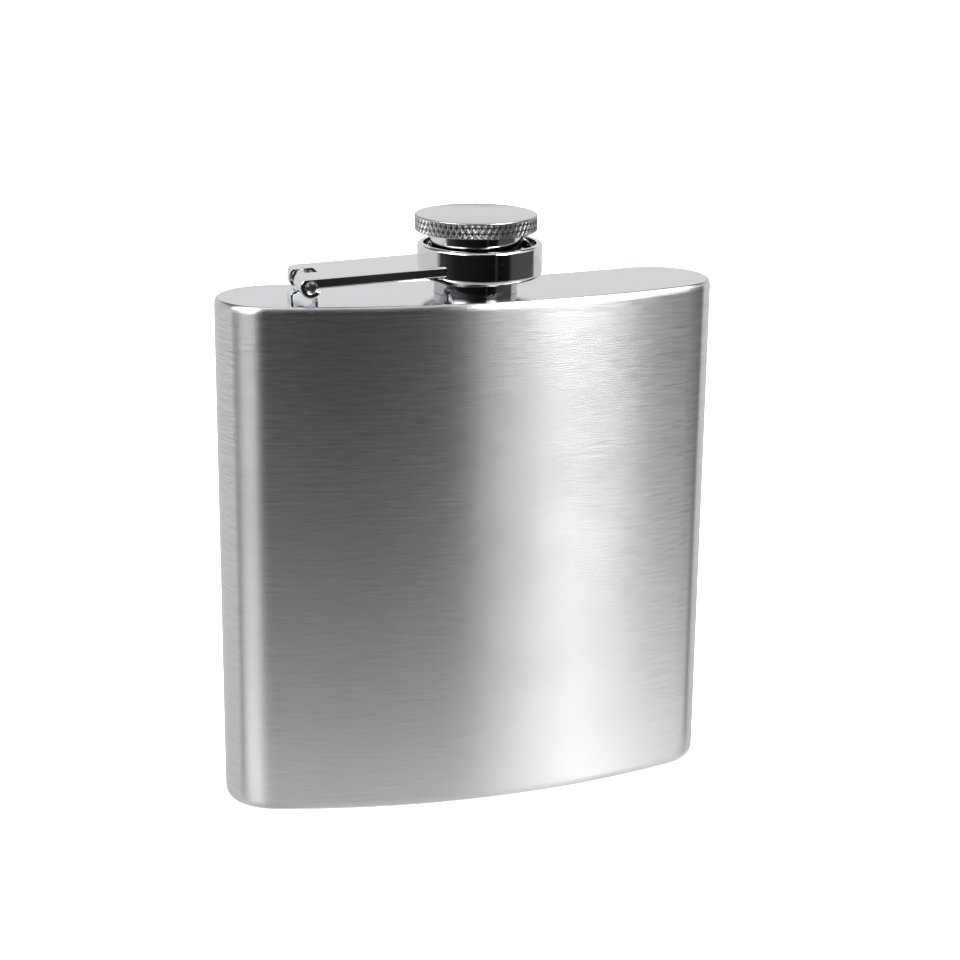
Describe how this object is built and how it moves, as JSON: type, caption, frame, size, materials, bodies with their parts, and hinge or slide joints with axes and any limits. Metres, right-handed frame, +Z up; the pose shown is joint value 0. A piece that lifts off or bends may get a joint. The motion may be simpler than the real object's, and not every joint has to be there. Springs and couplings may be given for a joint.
{
  "type": "hip flask",
  "caption": "Flat curved steel hip flask with a threaded neck and a knurled screw cap held captive on a hinged arm.",
  "frame": {"origin": "on the ground under the middle of the flask's bounding box", "axes": "+Z up through the neck, +X along the width away from the hinge, -Y out of the convex front face"},
  "size_m": [0.093, 0.0258, 0.1087],
  "materials": {
    "brushed_body": "brushed along the width",
    "polished_plate": "polished",
    "bright_steel": "mirror polished",
    "knurled_steel": "bright, knurled rim",
    "pin_steel": "plain",
    "seal": "matte"
  },
  "bodies": {
    "flask": {"body_shell": "brushed_body", "bottom_plate": "polished_plate", "top_plate": "polished_plate", "neck": "bright_steel", "hinge_bracket": "polished_plate"},
    "arm": {"cap_arm": "bright_steel", "hinge_pin": "pin_steel"},
    "retainer": {"cap_washer": "pin_steel"},
    "cap": {"cap_head": "knurled_steel", "cap_sleeve": "bright_steel", "cap_seal": "seal"}
  },
  "joints": [
    {"name": "arm_swing", "type": "hinge", "parent": "flask", "child": "arm", "pos_m": [-0.03165, -0.00168, 0.0982], "axis": [0, -1, 0], "range_deg": [0, 183]},
    {"name": "cap_lift", "type": "slide", "parent": "arm", "child": "retainer", "axis": [0, 0, 1], "range_m": [0, 0.0015]},
    {"name": "cap_spin", "type": "hinge", "parent": "retainer", "child": "cap", "pos_m": [0, -0.00168, 0.1058], "axis": [0, 0, 1], "range_deg": [0, 360]}
  ],
  "couplings": [
    {"joint": "cap_lift", "follows": "cap_spin", "m_per_rad": 0.00023873}
  ]
}
